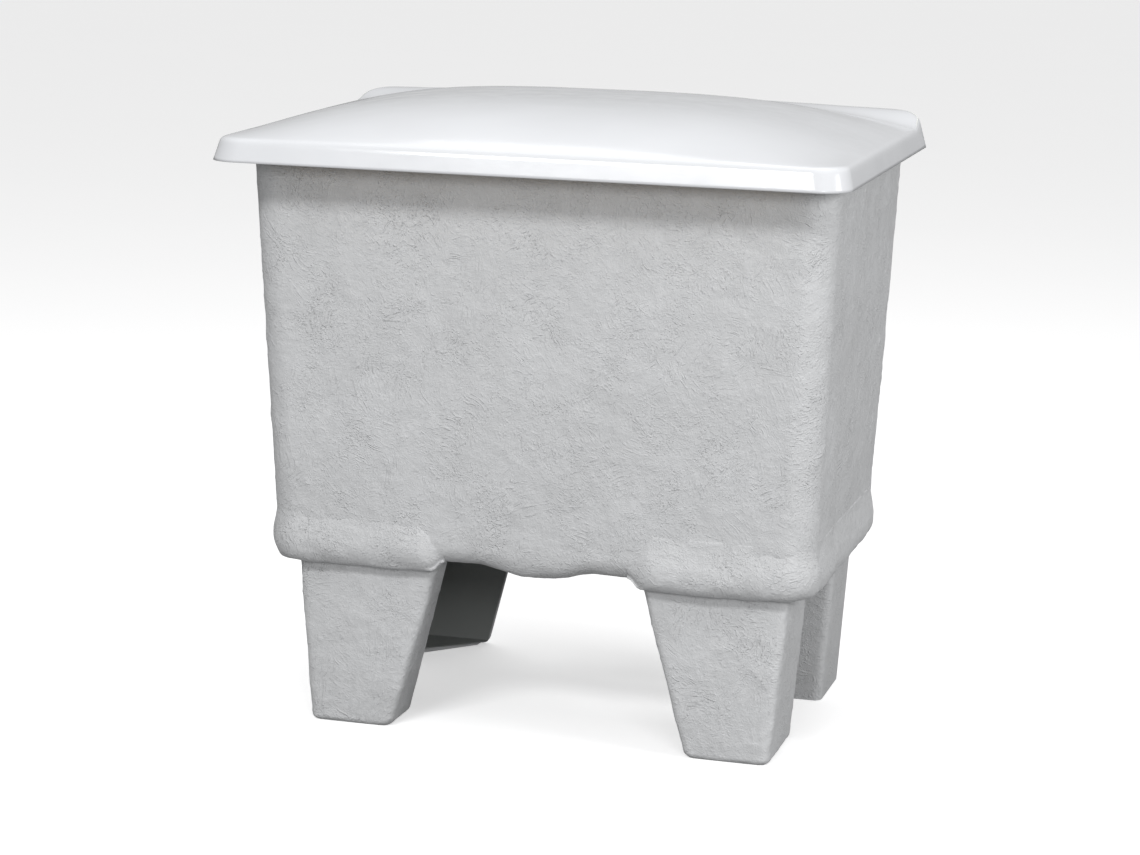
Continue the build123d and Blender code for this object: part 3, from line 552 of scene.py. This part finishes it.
def make_tub_shell():
    fine = 5 * MM
    tray = Tray(int(0.94 / fine), int(0.60 / fine), 8)
    under = RIM_TOP - RIM_THICK
    fillet = 5 * MM
    bowl_rings(tray, 0.0, TUB_BASE, TUB_EDGE, fine, under - fillet)
    outer_rows = len(tray.rings)
    for share in (0.35, 0.7, 0.9):
        hx, hy = tub_half(under)
        out = fillet * share**2
        z = under - fillet * (1 - share)
        tray.ring(-hx - out, hx + out, TUB_Y - hy - out, TUB_Y + hy + out, TUB_CORNER, z)
    hx, hy = tub_half(under)
    for share in (0.0, 0.25, 0.5, 0.75, 0.96, 1.0):
        x1 = mixed(hx + fillet, shell_high.x - MM, share)
        y0 = mixed(TUB_Y - hy - fillet, shell_low.y + MM, share)
        y1 = mixed(TUB_Y + hy + fillet, shell_high.y - MM, share)
        tray.ring(-x1, x1, y0, y1, mixed(TUB_CORNER, RIM_CORNER, share), under)
    rim_ring(tray, under + MM, 0.0)
    rim_ring(tray, RIM_TOP - 0.5 * MM, 0.0)
    rim_ring(tray, RIM_TOP - 0.05 * MM, 0.5 * MM)
    tub_ring(tray, RIM_TOP - 0.05 * MM, TUB_WALL)
    for share in np.linspace(0, 1, 5):
        tub_ring(tray, mixed(RIM_TOP - 5 * MM, TUB_BASE + TUB_FLOOR + TUB_EDGE, share), TUB_WALL)
    for k in range(1, 5):
        angle = math.pi / 2 * (1 - k / 4)
        edge = TUB_EDGE - TUB_WALL
        height = TUB_BASE + TUB_FLOOR + edge * (1 - math.cos(angle))
        tub_ring(tray, height, TUB_WALL + edge * (1 - math.sin(angle)))
    points, faces = tray.build()
    points = sagged(points)
    count = len(tray.rings[0])
    mask = np.zeros(len(points))
    mask[: (outer_rows + 8) * count] = 1.0
    hidden = len(tray.rings) * count
    caps = (tray.across - 1) * (tray.deep - 1)
    mask[hidden : hidden + caps] = 1.0
    points = roughened(points, faces, 0.26 * MM, 0.28 * MM, 0.35 * MM, mask)
    nodes = ["tub_shell", "tub_rim"]
    add_piece("tub_outer", points.tolist(), faces.tolist(), "fibreglass_exterior", "tank", nodes)


def make_tub_liner():
    tray = Tray(80, 56, 8)
    inset = TUB_WALL + LINER
    floor = TUB_BASE + TUB_FLOOR + LINER
    top = RIM_TOP + LINER
    edge = TUB_EDGE - inset
    roll = 5 * MM
    bowl_rings(tray, inset, floor, edge, 30 * MM, top - roll)
    for k in range(1, 6):
        angle = math.pi / 2 * k / 5
        hx, hy = tub_half(top)
        out = roll * (1 - math.cos(angle)) - inset
        z = top - roll + roll * math.sin(angle)
        tray.ring(-hx - out, hx + out, TUB_Y - hy - out, TUB_Y + hy + out, TUB_CORNER - inset, z)
    rim_ring(tray, top, 1.2 * MM)
    rim_ring(tray, top - 0.35 * MM, 0.35 * MM)
    rim_ring(tray, top - 1.2 * MM, 0.0)
    rim_ring(tray, RIM_TOP, 0.0)
    hx, hy = tub_half(RIM_TOP)
    tub_ring(tray, RIM_TOP, TUB_WALL + 0.2 * MM)
    for share in np.linspace(0.1, 1, 4):
        tub_ring(tray, mixed(RIM_TOP, floor + edge, share), TUB_WALL + 0.2 * MM)
    for k in range(1, 7):
        angle = math.pi / 2 * (1 - k / 6)
        tub_ring(
            tray,
            TUB_BASE + TUB_FLOOR + edge * (1 - math.cos(angle)),
            TUB_WALL + 0.2 * MM + edge * (1 - math.sin(angle)),
        )

    points, faces = tray.build()
    points = sagged(points)
    flipped = faces[:, ::-1].tolist()
    add_piece("tub_inner_skin", points.tolist(), flipped, "white_gelcoat", "tank", ["tub_liner"])


# ---------------------------------------------------------------- lid
LID_EDGE_Z = lid_low.z + 35 * MM
LID_LIP_RISE = 23 * MM
SIDE_DRAFT = 14.5 * MM
FRONT_DRAFT = 20 * MM
REAR_DRAFT = 12 * MM
DRAFT_HEIGHT = 58 * MM
LID_CORNER = 50 * MM
DOME_HALF = (488 * MM, 356 * MM)
DOME_POWER = (3.2, 3.0)
DOME_RISE = lid_high.z - LID_EDGE_Z
RAMP_START = 0.72
LID_SKIN = 2 * MM


def lid_top(x, y):
    """Height of the lid's outer surface."""
    u = np.abs(x) / DOME_HALF[0]
    v = np.abs(y) / DOME_HALF[1]
    dome = DOME_RISE * (1 - u ** DOME_POWER[0]) * (1 - v ** DOME_POWER[1])
    lift = LID_LIP_RISE * smooth_step((y / DOME_HALF[1] - RAMP_START) / (1 - RAMP_START))
    return LID_EDGE_Z + dome + lift


def skirt_ring(tray, share, inset):
    """Ring on the skirt: share 0 is its lower edge, 1 the edge of the dome, followed round the lid."""
    x0 = lid_low.x + inset
    x1 = lid_high.x - inset
    y0 = lid_low.y + inset
    y1 = lid_high.y - inset
    tray.ring(x0, x1, y0, y1, LID_CORNER - inset, lid_low.z)
    ring = tray.rings[-1]
    cx, cy = (x0 + x1) / 2, (y0 + y1) / 2
    top = lid_top(ring[:, 0] * DOME_HALF[0] / lid_high.x, ring[:, 1] * DOME_HALF[1] / lid_high.y)
    z = lid_low.z + (top - lid_low.z) * share
    rise = (z - lid_low.z) / DRAFT_HEIGHT
    half_x, half_y = (x1 - x0) / 2, (y1 - y0) / 2
    draft_y = np.where(ring[:, 1] < cy, FRONT_DRAFT, REAR_DRAFT)
    ring[:, 0] -= np.sign(ring[:, 0] - cx) * SIDE_DRAFT * rise * (np.abs(ring[:, 0] - cx) / half_x)
    ring[:, 1] -= np.sign(ring[:, 1] - cy) * draft_y * rise * (np.abs(ring[:, 1] - cy) / half_y)
    ring[:, 2] = z


def lid_outer_rings(tray, inset):
    """Rings from the skirt's lower edge up, over the rounded top edge and onto the dome."""
    for share in (0.0, 0.12, 0.3, 0.5, 0.68, 0.8):
        skirt_ring(tray, share, inset)
    lower = tray.rings[-1].copy()
    round_in = 9 * MM
    skirt_ring(tray, 1.0, inset)
    edge = tray.rings.pop()
    centre = np.array([0.0, (lid_low.y + lid_high.y) / 2])
    flat = edge[:, :2] - centre
    half = np.array([lid_high.x, lid_high.y])
    inner = edge.copy()
    inner[:, :2] = centre + flat * (1 - round_in / half)
    inner[:, 2] = lid_top(inner[:, 0], inner[:, 1]) - inset
    for t in (0.2, 0.4, 0.6, 0.8, 1.0):
        bend = (1 - t) ** 2 * lower + 2 * t * (1 - t) * edge + t**2 * inner
        tray.rings.append(bend)
    for scale in (0.965, 0.94, 0.91, 0.88):
        ring = inner.copy()
        ring[:, :2] = centre + (inner[:, :2] - centre) * scale
        ring[:, 2] = lid_top(ring[:, 0], ring[:, 1]) - inset
        tray.rings.append(ring)


def make_lid_skin():
    tray = Tray(120, 88, 10)
    lid_outer_rings(tray, 0.0)
    outer = tray.rings
    tray.rings = []
    lid_outer_rings(tray, LID_SKIN)
    inner = tray.rings[::-1]
    tray.rings = inner + outer
    points, faces = tray.build(lambda x, y: lid_top(x, y) - LID_SKIN, lid_top)
    add_piece("lid_outer", points.tolist(), faces.tolist(), "lid_gelcoat", "lid", ["lid_skin"])


# ---------------------------------------------------------------- base rails
RAIL_HEIGHT = 92 * MM  # of the bead's upper limit above its lowest line
RAIL_CREST = 33 * MM
RAIL_BULGE = 9.4 * MM  # outward from the tub's face at the crest
RAIL_BURIED = 0.7 * MM  # behind the tub's face at the upper limit
RAIL_KEEL = 20 * MM  # inward from the tub's face to the lowest line
RAIL_REACH = 38 * MM
RAIL_INSET = 6 * MM  # of the hidden back behind the tub's rounded edge
RAIL_END = rail_low.x
RAIL_FADE = 42 * MM
RAIL_DRAW_IN = 11 * MM  # how far the bead sinks into the tub at its two ends
RAIL_LIFT_RUN = 20 * MM
RAIL_LIFT = 16 * MM  # how far its underside rises there


def rail_section():
    """Outward offset and height of the bead's section, and 1 where it is seen; 0 on its buried back."""
    section = []
    for t in np.linspace(0, 1, 16, endpoint=False):
        swell = smooth_step(t) * (RAIL_BULGE + RAIL_BURIED) - RAIL_BURIED
        section.append((swell, mixed(RAIL_HEIGHT, RAIL_CREST, t), 1.0))
    for angle in np.linspace(0, math.pi / 2, 15):
        out = (RAIL_BULGE + RAIL_KEEL) * math.cos(angle) ** 0.9 - RAIL_KEEL
        section.append((out, RAIL_CREST * (1 - math.sin(angle) ** 0.9), 1.0))
    section.append((-RAIL_REACH, 2 * MM, 0.0))
    centre = TUB_BASE - rail_low.z + TUB_EDGE
    for angle in np.linspace(0, math.pi / 2, 6):
        back = TUB_EDGE - RAIL_INSET
        section.append((back * math.sin(angle) - TUB_EDGE, centre - back * math.cos(angle), 0.0))
    section.append((-RAIL_INSET, RAIL_HEIGHT - 2 * MM, 0.0))
    return np.array(section)


def make_rail(side):
    """Swept bead along one side and round both corners, fading into the tub at its two ends."""
    name = "left" if side < 0 else "right"
    fine = 5 * MM
    hx, hy = TUB_HALF_BASE
    r = TUB_CORNER
    path = []
    run = hx - r - RAIL_END
    count = int(run / fine)
    for k in range(count):
        path.append((RAIL_END + run * k / count, -hy, 0.0, -1.0))
    for k in range(12):
        a = math.pi / 2 * k / 12
        path.append((hx - r + r * math.sin(a), -(hy - r) - r * math.cos(a), math.sin(a), -math.cos(a)))
    run_y = 2 * (hy - r)
    count_y = int(run_y / fine)
    for k in range(count_y):
        path.append((hx, -(hy - r) + run_y * k / count_y, 1.0, 0.0))
    for k in range(12):
        a = math.pi / 2 * k / 12
        path.append((hx - r + r * math.cos(a), hy - r + r * math.sin(a), math.cos(a), math.sin(a)))
    for k in range(count + 1):
        path.append((hx - r - run * k / count, hy, 0.0, 1.0))
    path = np.array(path)
    length = np.concatenate(([0], np.cumsum(np.hypot(*np.diff(path[:, :2], axis=0).T))))
    fade = smooth_step(length / RAIL_FADE) * smooth_step((length[-1] - length) / RAIL_FADE)
    lift = smooth_step(length / RAIL_LIFT_RUN) * smooth_step((length[-1] - length) / RAIL_LIFT_RUN)
    out_line, height, shown = rail_section().T
    n = len(shown)
    lifted = np.where(height < 10 * MM, 1.0, shown)
    grown_x, grown_y = (tub_half(rail_low.z + height)[k] - TUB_HALF_BASE[k] for k in (0, 1))
    rows = []
    for (x, y, nx, ny), f, g in zip(path, fade, lift):
        sunk = RAIL_DRAW_IN * shown * np.minimum(1, out_line / (2 * MM) + 1).clip(0.2)
        out = out_line - (1 - f) * sunk
        z = rail_low.z + height + (1 - g) * RAIL_LIFT * (1 - height / RAIL_HEIGHT) * lifted
        side_x = x + grown_x * np.clip((x - RAIL_END) / run, 0, 1)
        side_y = y + np.sign(y) * grown_y * np.clip(abs(y) / (hy - r), 0, 1)
        rows.append(np.column_stack((side_x + nx * out, TUB_Y + side_y + ny * out, z)))
    points = np.vstack(rows)
    faces = joined_loops(n, [(k, k + 1) for k in range(len(rows) - 1)])
    mask = np.tile(shown, len(rows))
    ends = end_caps(n, len(rows))
    if side < 0:
        points[:, 0] *= -1
        faces = faces[:, ::-1]
        ends = [end[::-1] for end in ends]
    outward = faces[:, ::-1]
    points = roughened(points, outward, 0.26 * MM, 0.28 * MM, 0.35 * MM, mask)
    lower = mask * (1 - smooth_step((points[:, 2] - rail_low.z) / (60 * MM)))
    points = roughened(points, outward, 0.0, 0.35 * MM, 0.9 * MM, lower)
    all_faces = outward.tolist() + ends
    nodes = [f"base_rail_{name}"]
    add_piece(f"rail_{name}", points.tolist(), all_faces, "fibreglass_exterior", "tank", nodes)


# ---------------------------------------------------------------- legs
# Legs are worked out in millimetres and scaled when their points are made.
LEG_HEAD = {"outer": 404.0, "inner": 164.6, "front": -216.0, "rear": 272.0}
LEG_FOOT = {"outer": 380.5, "inner": 243.8, "front": -220.0, "rear": 305.0}
FRONT_DEPTH = ((168.0, 160.0), (96.0, 55.0))  # outer and inner side, each at the foot and the head
REAR_DEPTH = ((140.0, 132.0), (14.0, 14.0))
LEG_WALL = 7.0
LEG_SOLE = 8 * MM
FRONT_LEG_EDGE = 16.0
REAR_LEG_EDGE = 22.0
FRONT_RETURN = 34.0
REAR_RETURN = 40.0
SOLE_STEP = 38.0
TOE_ROUND = 14.0
SOLE_TUCK = 5.5
SOLE_ROUND = 9.0
SOLE_INSET = 5.2
HEAD_INSET = 1.0


def leg_path(rear, share):
    """Corners of a right leg's wall seen from above, from one free edge to the other, with their radii."""
    outer = mixed(LEG_FOOT["outer"], LEG_HEAD["outer"], share)
    inner = mixed(LEG_FOOT["inner"], LEG_HEAD["inner"], share)
    if rear:
        wall = mixed(LEG_FOOT["rear"], LEG_HEAD["rear"], share)
        front = wall - mixed(*REAR_DEPTH[0], share)
        low = max(TOE_ROUND - share * TUB_BASE / MM, 0)
        inner += TOE_ROUND - math.sqrt(max(TOE_ROUND**2 - low**2, 0))
        corners = ((outer - REAR_RETURN, front), (outer, front), (outer, wall), (inner, wall))
        return np.array(corners), (0, REAR_LEG_EDGE, REAR_LEG_EDGE, 0)
    wall = mixed(LEG_FOOT["front"], LEG_HEAD["front"], share)
    deep = mixed(*FRONT_DEPTH[0], share)
    shallow = mixed(*FRONT_DEPTH[1], share)
    slant = np.array((inner - outer, shallow - deep))
    start = np.array((outer, wall + deep)) + slant * FRONT_RETURN / abs(slant[0])
    corners = (tuple(start), (outer, wall + deep), (outer, wall), (inner, wall), (inner, wall + shallow))
    return np.array(corners), (0, 6.0, FRONT_LEG_EDGE, FRONT_LEG_EDGE, 0)


def offset_path(corners, inset):
    """The same open path moved sideways, towards the inside of the leg."""
    moved = []
    for k, corner in enumerate(corners):
        sides = []
        if k > 0:
            sides.append(corners[k] - corners[k - 1])
        if k < len(corners) - 1:
            sides.append(corners[k + 1] - corners[k])
        normals = [np.array((side[1], -side[0])) / np.linalg.norm(side) for side in sides]
        if len(normals) == 1:
            moved.append(corner + normals[0] * inset)
        else:
            middle = normals[0] + normals[1]
            moved.append(corner + middle * inset / (middle @ normals[0]))
    return np.array(moved)


def rounded_path(corners, radii, counts):
    """Points along an open path with rounded corners; counts gives the points of each straight."""
    points = []
    start = corners[0]
    for k in range(1, len(corners)):
        radius = radii[k]
        into = corners[k] - corners[k - 1]
        into = into / np.linalg.norm(into)
        if k == len(corners) - 1:
            stop = corners[k]
        else:
            out = corners[k + 1] - corners[k]
            out = out / np.linalg.norm(out)
            half_turn = math.acos(float(np.clip(into @ out, -1, 1))) / 2
            reach = radius * math.tan(half_turn)
            stop = corners[k] - into * reach
        for m in range(counts[k - 1]):
            points.append(mixed(start, stop, m / counts[k - 1]))
        if k == len(corners) - 1:
            points.append(stop)
            break
        after = corners[k] + out * reach
        for m in range(8):
            t = m / 8
            bend = (1 - t) ** 2 * stop + 2 * t * (1 - t) * corners[k] + t**2 * after
            points.append(bend)
        start = after
    return np.array(points)


def plate(outline, low, high):
    """Closed prism on a plan outline given in metres."""
    count = len(outline)
    points = [(x, y, low) for x, y in outline] + [(x, y, high) for x, y in outline]
    faces = [list(range(count))[::-1], list(range(count, 2 * count))]
    faces += [[k, (k + 1) % count, count + (k + 1) % count, count + k] for k in range(count)]
    return points, faces


def make_leg(end, side):
    """Open channel wall of a leg with its sole and head plates."""
    rear = end == "rear"
    node = f"leg_{end}_{side}"
    fine = 4.5
    nominal, _ = leg_path(rear, 0.5)
    lengths = np.linalg.norm(np.diff(nominal, axis=0), axis=1)
    counts = [max(int(length / fine), 2) for length in lengths]
    rows = int(TUB_BASE / MM / fine)
    levels = sorted({0.0, 0.003, 0.008, 0.015, 0.023, 0.032} | {k / rows for k in range(1, rows + 1)})
    loops = []
    for share in levels:
        corners, radii = leg_path(rear, share)
        inner_radii = tuple(max(r - LEG_WALL, 0.5) for r in radii)
        tuck = SOLE_TUCK * max(1 - share * TUB_BASE / MM / SOLE_ROUND, 0) ** 2
        outer_line = rounded_path(offset_path(corners, tuck), radii, counts)
        inner_line = rounded_path(offset_path(corners, LEG_WALL), inner_radii, counts)[::-1]
        loop = np.vstack((outer_line, inner_line)) * MM
        z = np.full((len(loop), 1), share * TUB_BASE)
        loops.append(np.hstack((loop, z)))
    n = len(loops[0])
    shown = np.zeros(n)
    shown[: n // 2] = 1.0
    shown[0] = shown[n // 2 - 1] = 0.4
    points = np.vstack(loops)
    outward = joined_loops(n, [(k, k + 1) for k in range(len(loops) - 1)])[:, ::-1]
    low = smooth_step(points[:, 2] / (8 * MM))
    mask = np.tile(shown, len(loops)) * (0.25 + 0.75 * low)
    points = roughened(points, outward, 0.26 * MM, 0.30 * MM, 0.45 * MM, mask)
    all_points = points.tolist()
    all_faces = outward.tolist() + end_caps(n, len(loops))
    sole = (0.0, SOLE_INSET, 0.6 * MM, LEG_SOLE)
    head = (1.0, HEAD_INSET, TUB_BASE - LEG_WALL * MM, TUB_BASE - 0.3 * MM)
    for share, inset, low_z, high_z in (sole, head):
        corners, radii = leg_path(rear, share)
        inner = offset_path(corners, inset)
        outline = [*map(tuple, rounded_path(inner, radii, [2] * (len(corners) - 1)))]
        if rear:
            step_point = (corners[0][0], corners[0][1] + SOLE_STEP)
            outline += [(corners[-1][0] + 1, corners[-1][1] - REAR_DEPTH[1][0]), step_point]
        outline = [(x * MM, y * MM) for x, y in outline][::-1]
        base = len(all_points)
        extra_points, extra_faces = plate(outline, low_z, high_z)
        all_points += extra_points
        all_faces += [[base + k for k in face] for face in extra_faces]
    if side == "left":
        all_points = [(-x, y, z) for x, y, z in all_points]
        all_faces = [face[::-1] for face in all_faces]
    add_piece(f"{node}_outer", all_points, all_faces, "fibreglass_exterior", "tank", [node], sharp=50)


# ---------------------------------------------------------------- CAD nodes that are shown
def dress_nodes():
    """Give every CAD node the material of its slot."""
    slots = {part["node"]: part["material_slot"] for part in frame["record"]["subparts"]}
    for name, node in frame["nodes"].items():
        node.data.materials.clear()
        node.data.materials.append(MATERIALS[slots[name]])


# ---------------------------------------------------------------- stage
WORLD_GLOW = 0.44
FLOOR_GLOW = 0.45
LIGHTS = (  # name, place, aim, size in metres, watts
    ("key", (-0.7, -3.4, 3.2), (0, 0, 0.55), (1.5, 0.6), 77),
    ("low", (2.2, -4.0, 1.8), (0, 0, 0.50), (1.8, 0.7), 63),
    ("side", (3.9, -0.8, 2.2), (0, 0, 0.55), (1.4, 1.4), 56),
    ("over", (0.0, 0.6, 4.2), (0, 0.2, 0), (3.0, 3.0), 56),
)


def area_light(name, place, aim, size, power):
    data = bpy.data.lights.new(name, "AREA")
    data.shape = "RECTANGLE"
    data.size, data.size_y = size
    data.energy = power
    light = bpy.data.objects.new(name, data)
    light.location = place
    light.rotation_euler = (Vector(aim) - Vector(place)).to_track_quat("-Z", "Y").to_euler()
    bpy.context.scene.collection.objects.link(light)


def make_stage():
    scene = bpy.context.scene
    scene.view_settings.view_transform = "Standard"
    world = bpy.data.worlds.new("studio")
    scene.world = world
    world.use_nodes = True
    tree = world.node_tree
    glow = tree.nodes["Background"]
    glow.inputs["Color"].default_value = (1, 1, 1, 1)
    glow.inputs["Strength"].default_value = WORLD_GLOW
    seen = tree.nodes.new("ShaderNodeBackground")
    seen.inputs["Color"].default_value = (1, 1, 1, 1)
    rays = tree.nodes.new("ShaderNodeLightPath")
    choose = tree.nodes.new("ShaderNodeMixShader")
    tree.links.new(rays.outputs["Is Camera Ray"], choose.inputs[0])
    tree.links.new(glow.outputs[0], choose.inputs[1])
    tree.links.new(seen.outputs[0], choose.inputs[2])
    tree.links.new(choose.outputs[0], tree.nodes["World Output"].inputs["Surface"])
    half = 40.0
    corners = [(-half, -half, 0), (half, -half, 0), (half, half, 0), (-half, half, 0)]
    mesh = bpy.data.meshes.new("floor")
    mesh.from_pydata(corners, [], [(0, 1, 2, 3)])
    floor = bpy.data.objects.new("floor", mesh)
    scene.collection.objects.link(floor)
    n = Nodes("floor")
    n.put(n.shader.inputs["Base Color"], n.mix(n.noise(1.5, 3.0), (0.86, 0.86, 0.86), (0.84, 0.84, 0.845)))
    n.shader.inputs["Roughness"].default_value = 0.9
    n.shader.inputs["Emission Color"].default_value = (1, 1, 1, 1)
    n.shader.inputs["Emission Strength"].default_value = FLOOR_GLOW
    matt = n.add("ShaderNodeBsdfDiffuse", {"Color": (0.30, 0.30, 0.30, 1)})
    rays = n.add("ShaderNodeLightPath")
    choose = n.add("ShaderNodeMixShader")
    n.put(choose.inputs[0], rays.outputs["Is Camera Ray"])
    n.put(choose.inputs[1], matt.outputs[0])
    n.put(choose.inputs[2], n.shader.outputs[0])
    n.put(n.tree.nodes["Material Output"].inputs["Surface"], choose.outputs[0])
    floor.data.materials.append(n.material)
    for name, place, aim, size, power in LIGHTS:
        area_light(name, place, aim, size, power)


make_camera()
make_stage()
dress_nodes()
make_tub_shell()
make_tub_liner()
make_lid_skin()
make_rail(-1)
make_rail(1)
for leg_side in ("left", "right"):
    for leg_end in ("front", "rear"):
        make_leg(leg_end, leg_side)
